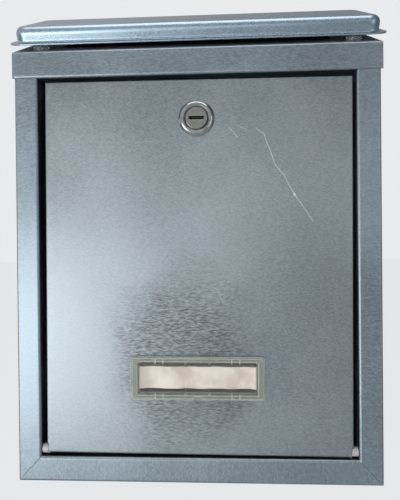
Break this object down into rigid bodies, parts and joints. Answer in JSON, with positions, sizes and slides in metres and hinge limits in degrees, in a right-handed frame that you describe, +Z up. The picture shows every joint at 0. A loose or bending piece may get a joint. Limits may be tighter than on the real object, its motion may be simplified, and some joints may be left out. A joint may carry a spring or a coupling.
{
  "type": "wall mounted mailbox",
  "caption": "Wall mounted mailbox of brushed sheet steel with a sloped lid over the letter slot and a bottom-hung front door with a cam lock and a name plate.",
  "frame": {"origin": "centre of the four wall fixing holes, on the back face", "axes": "+Z up, +Y into the wall, so the front looks along -Y"},
  "size_m": [0.23, 0.07, 0.3006],
  "materials": {
    "galvanised_sheet": "brushed",
    "zinc_plated": "satin",
    "rivet_aluminium": "satin",
    "clear_silicone": "clear, glossy",
    "white_nylon": "satin",
    "lock_chrome": "polished",
    "lock_brass": "satin",
    "tinted_plastic": "glossy, greenish, see-through",
    "clear_plastic": "glossy, see-through",
    "card_paper": "matte"
  },
  "bodies": {
    "box": {"body_wrap": "galvanised_sheet", "back_panel": "galvanised_sheet", "roof_hood": "galvanised_sheet", "hinge_leaf_body": "zinc_plated", "hinge_pin": "zinc_plated", "hinge_rivets_body": "rivet_aluminium", "bumper_left": "clear_silicone", "bumper_right": "clear_silicone", "pivot_pin_left": "rivet_aluminium", "pivot_pin_right": "rivet_aluminium", "pivot_washer_left": "white_nylon", "pivot_washer_right": "white_nylon"},
    "lid": {"lid_pan": "galvanised_sheet", "hinge_leaf_lid": "zinc_plated", "hinge_rivets_lid": "rivet_aluminium"},
    "door": {"door_panel": "galvanised_sheet", "lock_housing": "lock_chrome", "lock_nut": "zinc_plated", "name_frame": "tinted_plastic", "name_window": "clear_plastic", "name_card": "card_paper"},
    "lock": {"lock_plug": "lock_chrome", "lock_wafers": "lock_brass", "lock_stop_washer": "zinc_plated", "lock_cam": "zinc_plated", "cam_spring_washer": "zinc_plated", "cam_screw": "zinc_plated"}
  },
  "joints": [
    {"name": "lid_lift", "type": "hinge", "parent": "box", "child": "lid", "pos_m": [0, -0.0024, 0.15119], "axis": [-1, 0, 0], "range_deg": [0, 80]},
    {"name": "door_swing", "type": "hinge", "parent": "box", "child": "door", "pos_m": [0, -0.0642, -0.1264], "axis": [1, 0, 0], "range_deg": [0, 105]},
    {"name": "lock_turn", "type": "hinge", "parent": "door", "child": "lock", "pos_m": [0.00103, -0.0668, 0.0695], "axis": [0, -1, 0], "range_deg": [0, 90]}
  ]
}
